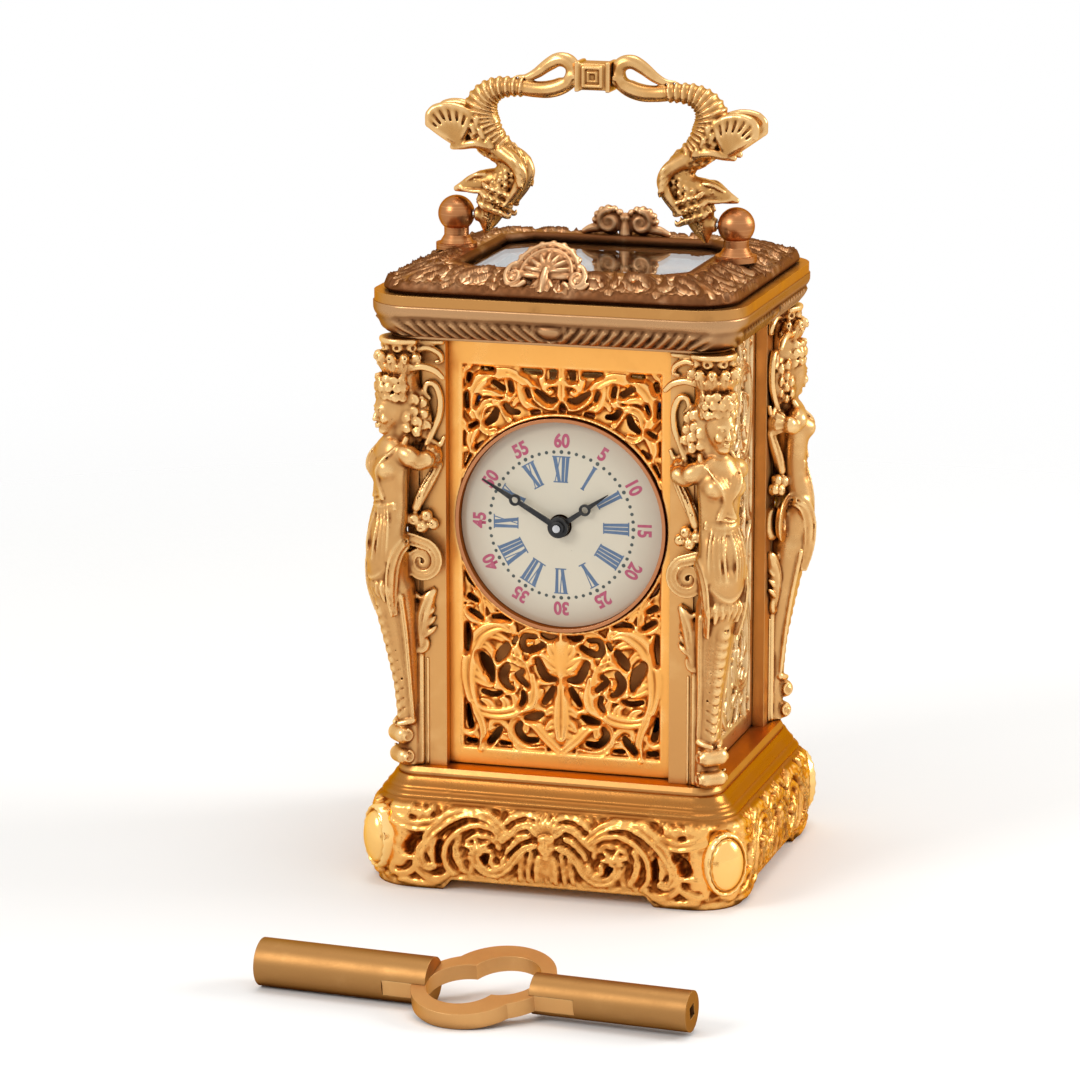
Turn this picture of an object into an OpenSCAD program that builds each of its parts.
// Miniature carriage clock: cast and pierced gilt case, swing handle, platform movement and key.
// The origin is on the floor under the middle of the case: X to the right, Y to the back, Z up.

/* [Case] */
// Width of the front panel beside the dial, from its rim to the post
dial_margin = 0.8; // [0.5:0.1:2.5]
// Depth across the sill frame, front to back
case_d = 34.8; // [34:0.2:38]
// Corner radius of the sill frame
corner_r = 3; // [2.4:0.1:3.6]
// Thickness of the sill frame
sill_t = 0.9; // [0.7:0.1:1.6]
// Height of the corner posts
post_h = 50.6; // [48:0.2:56]
// Width of a post's square core
post_core = 4.6; // [4.3:0.1:5]
// How far the posts' flat faces stand back from the edge of the sill
post_inset = 1.6; // [1.3:0.1:1.9]
// How far the panels stand back from the posts' flat faces
panel_recess = 1.4; // [1.1:0.1:1.7]
// Thickness of the front, side and back panels
panel_t = 1.2; // [1:0.1:1.4]
// How deep the panels reach into the grooves of the posts
groove_depth = 0.6; // [0.4:0.1:0.8]

/* [Base] */
// Height of the base from the floor to the seam under the sill
base_h = 12.9; // [11.5:0.1:15]
// How far the base swells out past its top edge
base_swell = 2.6; // [1.8:0.1:3]
// How far the main scrolls stand out of the base
base_relief = 0.5; // [0.3:0.05:0.8]
// How far the top edge of the base stands out past the sill
base_lip = 0.25; // [0.1:0.05:0.5]
// Thickness of the base's wall at its top
base_wall = 2.6; // [2.2:0.1:3]
// Width of the arch between two feet, front and back
arch_w = 23; // [18:0.5:25]
// Height of the arch between two feet
arch_h = 1.3; // [0.8:0.1:2]
// Thickness of the floor plate in the base
floor_t = 1.5; // [1.2:0.1:2]
// Diameter of the oval boss on a corner of the base
oval_d = 4.5; // [3.5:0.1:5]
// Height of the oval boss on a corner of the base
oval_h = 7; // [5:0.1:8]

/* [Top] */
// Height of the cornice
cornice_h = 4; // [3.4:0.1:5]
// How far the cornice flares out past the sill
cornice_flare = 2.6; // [2:0.1:3]
// Thickness of the plate between the cornice and the lid casting
lid_plate_t = 1.2; // [1:0.1:1.6]
// Height of the lid casting from its edge to its rim
lid_h = 2.9; // [2.5:0.1:3.4]
// Height of the lid casting's upright edge
lid_edge_h = 0.7; // [0.4:0.1:1]
// Length of the window, left to right
window_w = 27; // [22:0.5:27]
// Depth of the window, front to back
window_d = 24; // [20:0.5:24]
// Cut across each corner of the window
window_cut = 2.7; // [1.5:0.1:3.5]
// Thickness of the window glass
glass_t = 1.7; // [1.4:0.1:1.9]
// Width of a shell crest on the lid
crest_w = 9.6; // [7:0.1:11]
// Height of a shell crest over the rim of the lid
crest_h = 2.9; // [2:0.1:3]

/* [Handle] */
// Distance between the middles of the two knobs
knob_spacing = 33.6; // [32.8:0.2:34]
// Diameter of a knob's ball
knob_ball_d = 4.3; // [4:0.1:4.6]
// Diameter of a knob's neck
knob_neck_d = 2.9; // [2.4:0.1:3.2]
// Diameter of a knob's foot
knob_foot_d = 4.8; // [4:0.1:5]
// Height of the handle's pivots over the rim of the lid
pivot_rise = 3.6; // [3.4:0.1:4.2]
// Height of the handle over its pivots
handle_rise = 18.5; // [17:0.1:21]
// Diameter of the handle's pivot pins
pivot_pin_d = 1; // [0.8:0.05:1.2]
// Thickness of the handle's arms
arm_d = 3; // [2.6:0.1:3.2]

/* [Dial and hands] */
// Diameter of the dial with its rim
dial_d = 25; // [24:0.2:25.2]
// Width of the metal rim round the dial
rim_w = 0.4; // [0.3:0.05:0.6]
// Distance from the top of the posts down to the middle of the dial
dial_drop = 21.5; // [20.5:0.1:22]
// Height of the dial's dome
dial_dome = 0.8; // [0.4:0.1:1]
// Length of the minute hand from its middle
minute_len = 10.4; // [9:0.1:11]
// Length of the hour hand from its middle
hour_len = 7; // [5.5:0.1:7.5]
// Angle of the minute hand, clockwise from the top
minute_angle = 300; // [0:6:354]
// Angle of the hour hand, clockwise from the top
hour_angle = 55; // [0:0.5:359]

/* [Movement] */
// Space between the movement's plates and the corner posts
plate_space = 1.3; // [0.8:0.1:1.8]
// Thickness of the movement's plates
plate_t = 1.2; // [1:0.1:1.4]
// Distance between the insides of the movement's plates
plate_gap = 15.6; // [15.4:0.1:16]
// Diameter of the pillars between the plates
pillar_d = 2; // [1.6:0.1:2.4]
// Diameter of the centre arbor
centre_arbor_d = 0.9; // [0.8:0.05:1]
// Width across the hand-setting square
setting_square = 1.3; // [1.1:0.05:1.4]
// Width across the winding square
winding_square = 2; // [1.6:0.05:2.1]
// Diameter of the barrel drum
barrel_d = 16.6; // [15:0.2:17]
// Diameter of the balance wheel
balance_d = 8.4; // [7:0.1:9]
// Radial clearance of everything that turns
run_fit = 0.04; // [0.02:0.01:0.06]

/* [Key] */
// Length of the whole key
key_len = 49.3; // [45:0.1:54]
// Diameter of the winding pipe
winding_pipe_d = 5.3; // [4.8:0.1:5.6]
// Length of the winding pipe
winding_pipe_len = 20; // [17:0.5:22]
// Diameter of the setting pipe
setting_pipe_d = 4.5; // [4.2:0.1:5]
// Length of the setting pipe
setting_pipe_len = 17.6; // [14:0.2:19]
// Diameter of each of the two overlapping rounds of the key's bow
bow_d = 12.4; // [10:0.2:15]
// Width of the metal round the hole in the key's bow
bow_rim = 2.2; // [1.6:0.1:2.6]
// How far each round of the bow lies from its middle, along and across the key
bow_shift = 1.3; // [1:0.1:1.8]
// Thickness of the key's bow
bow_t = 1.8; // [1.4:0.1:2]
// Distance from the middle of the case to the middle of the key, towards the front
key_distance = 60.7; // [56:0.5:70]

/* [Hidden] */
$fn = 48;
facet_fn = 12;
cut = 0.02;
seat_gap = 0.03;

// Width across the sill frame, left to right
case_w = dial_d + 2 * (dial_margin + post_core + post_inset);

// Heights of the case
seam_z = base_h;
sill_top = seam_z + sill_t;
post_top = sill_top + post_h;
cornice_top = post_top + cornice_h;
lid_z = cornice_top + lid_plate_t;
rim_z = lid_z + lid_h;
pivot_z = rim_z + pivot_rise;

// Faces of the posts and panels, from the middle of the case
post_x = case_w / 2 - post_inset;
post_y = case_d / 2 - post_inset;
open_x = post_x - post_core;
open_y = post_y - post_core;
side_face = post_x - panel_recess;
front_face = post_y - panel_recess;
frame_open_x = open_x + 1.2;
frame_open_y = open_y + 1.2;
panel_gap = 0.05;
panel_len = post_h - 2 * panel_gap;

// Screws through the base and the cornice into the posts
screw_r = 0.75;
screw_head_r = 1.3;
screw_head_h = 1;
screw_x = post_x - post_core / 2;
screw_y = post_y - post_core / 2;
screw_bite = 5;
lug_t = 1.8;

plate_w = 2 * (open_x - plate_space);

// Window and glass
glass_lap = 0.6;
plate_window_lap = 0.6;

// Knob stud
stud_r = 0.7;
stud_len = 5.4;
knob_foot_sink = 0.5;

// Dial and motion work, from the front of the front panel backwards
dial_z = post_top - dial_drop;
rim_proud = 0.4;
rim_r = dial_d / 2;
dial_r = rim_r - rim_w - seat_gap;
dial_t = 0.9;
dial_back = -front_face + panel_t + 0.4;
plate_front = dial_back + 2.3;
plate_inside = plate_front + plate_t;
plate_rear_in = plate_inside + plate_gap;
plate_rear = plate_rear_in + plate_t;
plate_top = dial_z + 16.1;
hour_hole_r = 1.35;
hour_pipe_r = 1.1;
cannon_r = 0.72;
scroll_w = 1.1;
hand_t = 0.25;
hand_space = 0.35;
dial_front = dial_back - dial_t - dial_dome;
hour_hand_y = dial_front - hand_space;
minute_hand_y = hour_hand_y - hand_t - hand_space;
hand_ring_r = 0.68;
hand_hole_r = 0.38;
hand_hub_r = 1.2;
minute_ring_at = 5.9;
hour_ring_at = 3.7;

// Gears: modules and teeth. A tooth is tooth_add modules proud of its pitch circle.
tooth_add = 0.8;
tooth_ded = 1.2;
tooth_tip_share = 0.09;
tooth_root_share = 0.24;
great_m = 0.25;
great_n = 72;
centre_leaves = 12;
centre_m = 0.2;
centre_n = 72;
third_leaves = 9;
third_n = 60;
fourth_leaves = 8;
hour_m = 0.18;
cannon_n = 12;
minute_wheel_n = 36;
minute_leaves = 10;
hour_wheel_n = 40;
contrate_n = 60;
escape_leaves = 6;
escape_n = 15;

function gear_distance(m, n1, n2) = m * (n1 + n2) / 2;
great_reach = gear_distance(great_m, great_n, centre_leaves);
centre_reach = gear_distance(centre_m, centre_n, third_leaves);
third_reach = gear_distance(centre_m, third_n, fourth_leaves);
motion_reach = gear_distance(hour_m, cannon_n, minute_wheel_n);
minute_m = 2 * motion_reach / (minute_leaves + hour_wheel_n);

// Places of the arbors, as [x, z]
centre_at = [0, dial_z];
barrel_at = [0, dial_z - great_reach];
contrate_rise = 9.3;
contrate_at = [0, dial_z + contrate_rise];
third_up = (centre_reach * centre_reach - third_reach * third_reach
    + contrate_rise * contrate_rise) / (2 * contrate_rise);
third_out = sqrt(centre_reach * centre_reach - third_up * third_up);
third_at = [third_out, dial_z + third_up];
motion_angle = -50;
minute_wheel_at = [motion_reach * cos(motion_angle), dial_z + motion_reach * sin(motion_angle)];

// Directions from one arbor to the next, seen from the front, anticlockwise from the right
barrel_to_centre = 90;
centre_to_third = atan2(third_up, third_out);
third_to_contrate = atan2(contrate_rise - third_up, -third_out);

// Depths of the wheels, from the inside of the front plate backwards
great_y = plate_inside + 1.1;
great_t = 1;
drum_y = great_y + great_t;
drum_len = 8.6;
drum_wall = 0.6;
contrate_leaf_y = plate_inside + 5.9;
third_y = plate_inside + 6.3;
contrate_y = plate_inside + 8.3;
third_leaf_y = plate_inside + 11.9;
centre_y = plate_inside + 12.3;
wheel_t = 0.8;
contrate_t = 0.4;
leaf_len = 1.6;
contrate_r = 4.8;
crown_depth = 0.6;
crown_len = 0.8;
crown_t = 0.13;
crown_tip_y = contrate_y + contrate_t + crown_len;

// Arbor and pivot sizes
arbor_r = 0.4;
pivot_r = 0.22;
barrel_arbor_r = 1.2;
barrel_pivot_r = 1;
spring_turns = 6;
spring_t = 0.35;

// Platform and escapement, from the top of the plates upwards
platform_t = 1;
platform_w = 17;
platform_z = plate_top + platform_t;
escape_leaf_r = 0.52;
escape_bite = 0.1;
escape_y = crown_tip_y - escape_bite + escape_leaf_r;
escape_wheel_r = 3;
escape_z = platform_z + 1;
escape_t = 0.3;
cylinder_r = 0.45;
balance_y = escape_y - escape_wheel_r - cylinder_r - 0.12;
balance_z = platform_z + 2.9;
balance_t = 0.4;
hairspring_z = platform_z + 3.7;
hairspring_h = 0.2;
hairspring_t = 0.08;
hairspring_turns = 4;
cock_z = platform_z + 4.4;
cock_t = 0.8;
escape_cock_z = platform_z + 1.85;
escape_cock_t = 0.4;
pinion_low_z = dial_z + contrate_rise + contrate_r - 0.9;

// Ratchet and click behind the back plate
ratchet_n = 20;
ratchet_r = 3.2;
ratchet_t = 0.8;
ratchet_y = plate_rear + 0.1;
click_pivot = [barrel_at[0] + 5.2, barrel_at[1] + 2.1];
click_r = 0.9;
click_stud_r = 0.45;
click_clear = 0.1;
square_end_y = front_face - panel_t - 1.2;

// Back door
door_gap = 0.12;
door_w = 2 * (open_x - door_gap);
door_h = post_h - 2 * door_gap;
door_edge = 2.4;
door_pin_r = 0.35;
door_pin_len = 0.6;
door_y = front_face - panel_t / 2;
door_pin_x = -(open_x - door_gap - panel_t / 2);

// Key on the floor
key_angle = -4.2;
key_axis_z = winding_pipe_d / 2;
key_mid_x = 3.7;
tongue_len = 5;
bow_len = key_len - winding_pipe_len - setting_pipe_len;
// The bow leans until its near edge touches the floor
key_tilt = asin((key_axis_z - bow_t / 2 - 0.03) / (bow_d / 2 + bow_shift));

// Figure on a corner post: share of the post's height, distance out from the post, radius
FIGURE_LEG = [[0.03, 0.2, 1.7], [0.14, 0.4, 1.6], [0.3, 1.1, 1.8], [0.42, 2, 2.1], [0.49, 2.3, 2.4]];
FIGURE_TRUNK = [[0.49, 2.3, 2.4], [0.6, 1.9, 1.9], [0.69, 2.2, 2.3], [0.735, 1.9, 2.1]];
FIGURE_HEAD = [[0.77, 1.9, 1.2], [0.83, 2.3, 1.9], [0.9, 1.9, 2.2]];
FIGURE_CAPITAL = [[0.9, 1.5, 2], [0.985, 0.7, 2.2]];
figure_shoulder = [0.725, 1.7, 1];
figure_shoulder_out = 1.9;
figure_volute = 0.49;

// Handle arm: distance from the middle, height as a share of the rise, radius as a share of arm_d
ARM_NECK = [[14.6, 0.02, 0.52], [12.6, 0.17, 0.5], [9.9, 0.31, 0.52]];
ARM_CHEST = [[9.9, 0.31, 0.52], [12.4, 0.46, 0.52], [13.8, 0.64, 0.5], [12.6, 0.785, 0.42]];
ARM_BAR = [[12.6, 0.785, 0.42], [9, 0.825, 0.3], [5.5, 0.83, 0.28], [3, 0.86, 0.26]];
ARM_CREST = [[14.6, 0.12, 0.4], [16.6, 0.15, 0.25]];
ARM_WING = [[14.4, 0.62, 0.3], [18.9, 0.6, 0.15], [16.3, 0.43, 0.15]];
loop_x = 4.1;
loop_r = 1.35;
loop_wire = 0.62;
collar_w = 4.2;
collar_h = 3.6;
collar_d = 3.2;

// Shared shapes

// Children at one corner of the case, drawn for the back right one
module at_corner(sx, sy) {
    mirror([sx < 0 ? 1 : 0, 0, 0])
        mirror([0, sy < 0 ? 1 : 0, 0])
            children();
}

// A flat shape seen from the front, filled from y_front back to y_rear
module slab(x, z, y_front, y_rear) {
    translate([x, y_rear, z])
        rotate([90, 0, 0])
            linear_extrude(y_rear - y_front)
                children();
}

// A round rod that runs from front to back
module rod(x, z, y_front, y_rear, r) {
    slab(x, z, y_front, y_rear)
        circle(r);
}

// An upright round rod
module upright(x, y, z_low, z_high, r) {
    translate([x, y, z_low])
        cylinder(h = z_high - z_low, r = r);
}

module rounded_rectangle(w, d, r) {
    square([w - 2 * r, d], center = true);
    square([w, d - 2 * r], center = true);
    for (sx = [-1, 1], sy = [-1, 1])
        translate([sx * (w / 2 - r), sy * (d / 2 - r)])
            circle(r);
}

// A rectangle with its four corners cut off
module cut_rectangle(w, d, c) {
    polygon([
        [w / 2 - c, d / 2], [-w / 2 + c, d / 2], [-w / 2, d / 2 - c], [-w / 2, -d / 2 + c],
        [-w / 2 + c, -d / 2], [w / 2 - c, -d / 2], [w / 2, -d / 2 + c], [w / 2, d / 2 - c]
    ]);
}

// A block with rounded corners whose edge follows a profile of [outward, height] points
module moulded_block(w, d, r, profile) {
    low = profile[0][1];
    high = profile[len(profile) - 1][1];
    outline = concat([[0, low]], [for (p = profile) [r + p[0], p[1]]], [[0, high]]);
    translate([r - w / 2, r - d / 2, low])
        cube([w - 2 * r, d - 2 * r, high - low]);
    for (side = [0 : 3]) {
        half_x = (side % 2 == 0 ? w : d) / 2 - r;
        half_y = (side % 2 == 0 ? d : w) / 2 - r;
        rotate(90 * side)
            translate([half_x, half_y, 0]) {
                rotate_extrude(angle = 90)
                    polygon(outline);
                rotate([90, 0, 0])
                    linear_extrude(2 * half_y)
                        polygon(outline);
            }
    }
}

// A solid egg shape that stands upright
module upright_oval(r, h) {
    steps = 12;
    rotate_extrude()
        polygon([for (i = [0 : steps]) [r * sin(180 * i / steps), -h / 2 * cos(180 * i / steps)]]);
}

// Spheres joined in a chain; each point is [x, y, z, r]
module chain(points) {
    for (i = [0 : len(points) - 2])
        hull()
            for (k = [0, 1])
                translate([points[i + k][0], points[i + k][1], points[i + k][2]])
                    sphere(points[i + k][3], $fn = facet_fn);
}

// Scrollwork: rings on a grid that touch their neighbours, each with a rosette on a stem
module fret(w, h, pitch) {
    columns = max(2, round(w / pitch));
    rows = max(2, round(h / pitch));
    step_x = w / columns;
    step_y = h / rows;
    ring = max(step_x, step_y) / 2 + 0.12;
    for (i = [0 : columns - 1], k = [0 : rows - 1]) {
        turn = (i + k) % 2 == 0 ? 45 : 135;
        translate([(i + 0.5) * step_x - w / 2, (k + 0.5) * step_y - h / 2]) {
            difference() {
                circle(ring);
                circle(ring - 0.75);
            }
            circle(0.85);
            rotate(turn)
                square([2 * ring - 0.6, 0.5], center = true);
        }
    }
}

// A pierced panel that stands in the XY plane
module pierced_panel(w, h, border) {
    difference() {
        square([w, h], center = true);
        square([w - 2 * border[0], h - 2 * border[1]], center = true);
    }
    intersection() {
        square([w - border[0], h - border[1]], center = true);
        fret(w - 2 * border[0] + 0.4, h - 2 * border[1] + 0.4, fret_pitch);
    }
}
fret_pitch = 5.6;
front_border = [1.6 + groove_depth, 2.6];
side_border = [1.4 + groove_depth, 2.4];

function gear_points(n, m, turn) = [
    for (i = [0 : n - 1])
        for (k = [0 : 3])
            let (
                share = [-tooth_root_share, -tooth_tip_share, tooth_tip_share, tooth_root_share][k],
                angle = turn + (i + share) * 360 / n,
                r = m * (k == 0 || k == 3 ? n / 2 - tooth_ded : n / 2 + tooth_add)
            )
            [r * cos(angle), r * sin(angle)]
];

module gear(n, m, turn) {
    polygon(gear_points(n, m, turn));
}

// Rim and crossings of a wheel whose toothed edge is drawn by gear()
module crossed_gear(n, m, turn, hub_r) {
    rim_in = m * (n / 2 - tooth_ded) - 0.55;
    difference() {
        gear(n, m, turn);
        circle(rim_in);
    }
    circle(hub_r);
    for (a = [0 : 90 : 270])
        rotate(a)
            translate([0, -0.35])
                square([rim_in + 0.2, 0.7]);
}

// Case

// Half of a raised scroll on a side of the base: its middle, radius and the half that is kept
module half_scroll(y, z, r, upper) {
    translate([-1, y, z])
        rotate([0, 90, 0])
            difference() {
                cylinder(h = 1.6 + base_relief, r = r);
                translate([0, 0, -cut])
                    cylinder(h = 4, r = r - scroll_w);
                translate([upper ? 0 : -9, -9, -cut])
                    cube([9, 18, 4]);
            }
}

module base_side(length) {
    // Mask in the middle, and on either side of it a flower under a great scroll and a small one below
    translate([-0.4, 0, base_h * 0.5])
        upright_oval(1.7, 6);
    for (s = [-1, 1]) {
        half_scroll(s * length * 0.265, base_h * 0.34, length * 0.14, true);
        half_scroll(s * length * 0.16, base_h * 0.4, length * 0.075, false);
        translate([-1, s * length * 0.22, base_h * 0.44])
            rotate([0, 90, 0])
                cylinder(h = 1.6 + base_relief, r = 1.4);
    }
}

module base_casting() {
    top_w = case_w + 2 * base_lip;
    top_d = case_d + 2 * base_lip;
    swell_top = base_h - 3.2;
    profile = concat(
        [for (t = [0 : 15 : 165]) [base_swell - 0.55 + 0.55 * sin(t), swell_top * t / 180]],
        [
            [base_swell - 0.75, swell_top], [base_swell * 0.6, swell_top + 0.4],
            [base_swell * 0.52, base_h - 2.5], [0.9, base_h - 1.6], [0.2, base_h - 0.5], [0, base_h]
        ]
    );
    corner_x = top_w / 2 - corner_r;
    corner_y = top_d / 2 - corner_r;
    oval_out = (corner_r + base_swell + 0.5) * cos(45);
    color([0.86, 0.6, 0.2])
        difference() {
            union() {
                difference() {
                    union() {
                        moulded_block(top_w, top_d, corner_r, profile);
                        for (sx = [-1, 1], sy = [-1, 1]) {
                            translate([sx * (corner_x + oval_out), sy * (corner_y + oval_out), base_h * 0.43])
                                upright_oval(oval_d / 2, oval_h);
                            translate([sx * (corner_x + oval_out - 1.6), sy * (corner_y + oval_out - 1.6), 0])
                                cylinder(h = 2, r = 3.2);
                        }
                        for (side = [0 : 3])
                            rotate(90 * side)
                                translate([(side % 2 == 0 ? top_w : top_d) / 2 + base_swell - 0.6, 0, 0])
                                    base_side(side % 2 == 0 ? top_d : top_w);
                    }
                    translate([0, 0, -cut])
                        linear_extrude(base_h + 2 * cut)
                            rounded_rectangle(top_w - 2 * base_wall, top_d - 2 * base_wall, 1.5);
                }
                for (sx = [-1, 1], sy = [-1, 1])
                    upright(sx * screw_x, sy * screw_y, base_h - floor_t - lug_t, base_h - floor_t, 2.3);
            }
            translate([0, 0, base_h - floor_t])
                linear_extrude(floor_t + cut)
                    rounded_rectangle(top_w - 2 * base_wall + 1.6, top_d - 2 * base_wall + 1.6, 2.3);
            for (sx = [-1, 1], sy = [-1, 1])
                upright(sx * screw_x, sy * screw_y, 0, base_h, screw_r + seat_gap);
            slab(0, 0, -case_d, case_d)
                arch(arch_w);
            rotate(90)
                slab(0, 0, -case_w, case_w)
                    arch(arch_w - case_w + case_d);
        }
}

// Outline of the arch between two feet, with sloping ends
module arch(w) {
    polygon([
        [-w / 2 - 0.6, -cut], [-w / 2 + 0.7, arch_h * 0.75], [-w / 2 + 2, arch_h],
        [w / 2 - 2, arch_h], [w / 2 - 0.7, arch_h * 0.75], [w / 2 + 0.6, -cut]
    ]);
}

module floor_plate() {
    w = case_w + 2 * base_lip - 2 * base_wall + 1.6 - 2 * seat_gap;
    d = case_d + 2 * base_lip - 2 * base_wall + 1.6 - 2 * seat_gap;
    color([0.75, 0.6, 0.3])
        difference() {
            translate([0, 0, base_h - floor_t])
                linear_extrude(floor_t)
                    rounded_rectangle(w, d, 2.3);
            for (sx = [-1, 1], sy = [-1, 1])
                upright(sx * screw_x, sy * screw_y, 0, base_h + cut, screw_r + seat_gap);
            for (s = [-1, 1], y = seat_screw_y)
                upright(s * seat_screw_x, y, 0, base_h + cut, seat_screw_r + seat_gap);
        }
}

module sill_frame() {
    profile = [[0, seam_z], [0, seam_z + sill_t * 0.4], [-0.3, sill_top]];
    color([0.72, 0.55, 0.27])
        difference() {
            moulded_block(case_w, case_d, corner_r, profile);
            translate([0, 0, seam_z - cut])
                linear_extrude(sill_t + 2 * cut)
                    square([2 * frame_open_x, 2 * frame_open_y], center = true);
            for (sx = [-1, 1], sy = [-1, 1])
                upright(sx * screw_x, sy * screw_y, seam_z - cut, sill_top + cut, screw_r + seat_gap);
            upright(door_pin_x, door_y, sill_top - door_pin_len, sill_top + cut, door_pin_r + run_fit);
        }
}

module corner_post() {
    strip = post_core * 0.6;
    color([0.78, 0.6, 0.3])
        difference() {
            translate([open_x, open_y, sill_top])
                cube([post_core, post_core, post_h]);
            // Upright grooves beside the flat strips
            translate([open_x + strip, post_y - 0.35, sill_top - cut])
                cube([0.5, 1, post_h + 2 * cut]);
            translate([post_x - 0.35, open_y + strip, sill_top - cut])
                cube([1, 0.5, post_h + 2 * cut]);
            upright(screw_x, screw_y, sill_top - cut, sill_top + screw_bite, screw_r + seat_gap);
            upright(screw_x, screw_y, post_top - screw_bite, post_top + cut, screw_r + seat_gap);
        }
}

// Cut for the edge of a side panel
module side_groove() {
    translate([side_face - panel_t - panel_gap, open_y - cut, sill_top - cut])
        cube([panel_t + 2 * panel_gap, groove_depth + panel_gap + cut, post_h + 2 * cut]);
}

// Cut for the edge of the front panel
module front_groove() {
    translate([open_x - cut, front_face - panel_t - panel_gap, sill_top - cut])
        cube([groove_depth + panel_gap + cut, panel_t + 2 * panel_gap, post_h + 2 * cut]);
}

module corner_post_front_left() {
    at_corner(-1, -1)
        color([0.78, 0.6, 0.3])
            difference() {
                corner_post();
                side_groove();
                front_groove();
            }
}

module corner_post_front_right() {
    at_corner(1, -1)
        color([0.78, 0.6, 0.3])
            difference() {
                corner_post();
                side_groove();
                front_groove();
            }
}

module corner_post_back_left() {
    at_corner(-1, 1)
        color([0.78, 0.6, 0.3])
            difference() {
                corner_post();
                side_groove();
            }
}

module corner_post_back_right() {
    at_corner(1, 1)
        color([0.78, 0.6, 0.3])
            difference() {
                corner_post();
                side_groove();
            }
}

// Points of the figure in its own frame: outward is +X
function figure_points(rows, side) = [for (p = rows) [p[1], side, sill_top + p[0] * post_h, p[2]]];

// A woman's figure that ends in a tapering leg, on the outer edge of the back right post
module caryatid() {
    color([0.8, 0.62, 0.3])
        difference() {
            union() {
                translate([post_x, post_y, 0])
                    rotate(45) {
                        chain(figure_points(FIGURE_LEG, 0));
                        chain(figure_points(FIGURE_TRUNK, 0));
                        chain(figure_points(FIGURE_HEAD, 0));
                        chain(figure_points(FIGURE_CAPITAL, 0));
                        for (s = [-1, 1])
                            chain([
                                [figure_shoulder[1], 0, sill_top + figure_shoulder[0] * post_h, figure_shoulder[2]],
                                [figure_shoulder[1], s * figure_shoulder_out,
                                    sill_top + figure_shoulder[0] * post_h, figure_shoulder[2]],
                                [figure_shoulder[1] - 0.5, s * figure_shoulder_out,
                                    sill_top + (figure_shoulder[0] - 0.1) * post_h, 0.8]
                            ]);
                    }
                // Scrolls that turn on to the two faces of the post
                translate([post_x - 0.9, post_y + 0.8, sill_top + figure_volute * post_h])
                    rotate([90, 0, 0])
                        cylinder(h = 1.6, r = 2.3, center = true);
                translate([post_x + 0.8, post_y - 0.9, sill_top + figure_volute * post_h])
                    rotate([0, 90, 0])
                        cylinder(h = 1.6, r = 2.3, center = true);
                // Foot block and head block that stand against the post
                translate([post_x - 0.5, post_y - 0.5, sill_top])
                    cylinder(h = 1.2, r = 1.7);
                translate([post_x - 0.5, post_y - 0.5, post_top - 1.6])
                    cylinder(h = 1.6, r = 2.4);
            }
            translate([open_x - 1, open_y - 1, sill_top - 1])
                cube([post_core + 1, post_core + 1, post_h + 2]);
            translate([0, 0, sill_top - 5])
                cube([case_w, case_d, 5]);
            translate([0, 0, post_top])
                cube([case_w, case_d, 5]);
        }
}

module caryatid_front_left() {
    at_corner(-1, -1)
        caryatid();
}

module caryatid_front_right() {
    at_corner(1, -1)
        caryatid();
}

module caryatid_back_left() {
    at_corner(-1, 1)
        caryatid();
}

module caryatid_back_right() {
    at_corner(1, 1)
        caryatid();
}

module case_screws() {
    head_low = base_h - floor_t - lug_t;
    color([0.35, 0.4, 0.55])
        for (sx = [-1, 1], sy = [-1, 1]) {
            upright(sx * screw_x, sy * screw_y, head_low - screw_head_h, head_low, screw_head_r);
            upright(sx * screw_x, sy * screw_y, head_low, sill_top + screw_bite - 0.3, screw_r);
            upright(sx * screw_x, sy * screw_y, cornice_top - screw_head_h, cornice_top, screw_head_r);
            upright(sx * screw_x, sy * screw_y, post_top - screw_bite + 0.3, cornice_top - screw_head_h, screw_r);
        }
}

module cornice() {
    ovolo_h = cornice_h - 0.9;
    profile = concat(
        [[0.45, post_top], [0.45, post_top + 0.3]],
        [for (t = [15 : 15 : 90]) [
            0.45 + (cornice_flare - 0.45) * sin(t),
            post_top + 0.3 + ovolo_h * (1 - cos(t))
        ]],
        [[cornice_flare, cornice_top]]
    );
    color([0.74, 0.57, 0.33])
        difference() {
            union() {
                moulded_block(case_w, case_d, corner_r, profile);
                for (s = [-1, 1])
                    translate([0, s * (case_d / 2 + cornice_flare - 1.2), post_top + cornice_h * 0.6])
                        rotate([0, 90, 0])
                            upright_oval(1.2, 3.6);
            }
            translate([0, 0, post_top - cut])
                linear_extrude(cornice_h + 2 * cut)
                    square([2 * frame_open_x, 2 * frame_open_y], center = true);
            for (sx = [-1, 1], sy = [-1, 1]) {
                upright(sx * screw_x, sy * screw_y, post_top - cut, cornice_top + cut, screw_r + seat_gap);
                upright(sx * screw_x, sy * screw_y, cornice_top - screw_head_h, cornice_top + cut,
                    screw_head_r + seat_gap);
            }
            for (s = [-1, 1])
                upright(s * knob_spacing / 2, 0, knob_stud_low - 0.3, cornice_top + cut, stud_r + seat_gap);
            upright(door_pin_x, door_y, post_top - cut, post_top + door_pin_len, door_pin_r + run_fit);
        }
}
knob_seat_z = rim_z - knob_foot_sink;
knob_stud_low = knob_seat_z - stud_len;

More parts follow.
